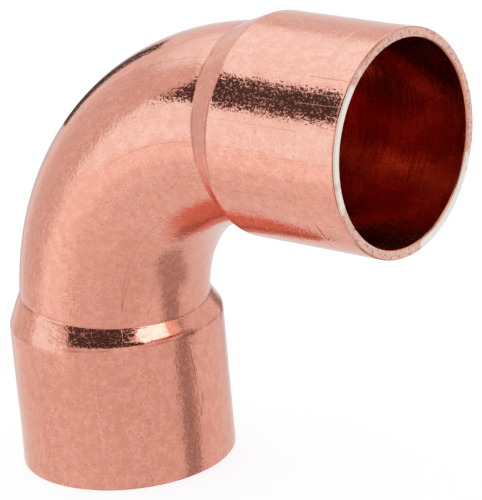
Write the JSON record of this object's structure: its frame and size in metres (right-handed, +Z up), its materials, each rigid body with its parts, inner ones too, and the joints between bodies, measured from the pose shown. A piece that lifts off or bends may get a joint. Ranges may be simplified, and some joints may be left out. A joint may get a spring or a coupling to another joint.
{
  "type": "pipe elbow",
  "caption": "Long-turn 90 degree copper pipe elbow with a solder cup at each end, formed from one length of tube",
  "frame": {"origin": "centre of the inlet cup's mouth, in the plane of its cut rim", "axes": "+Z up the inlet cup's axis and into the elbow, +X the way the outlet cup opens, +Y square to the plane of the bend"},
  "size_m": [0.0397, 0.0176, 0.0397],
  "materials": {
    "copper": "satin"
  },
  "bodies": {
    "root": {"elbow_body": "copper"}
  },
  "joints": []
}
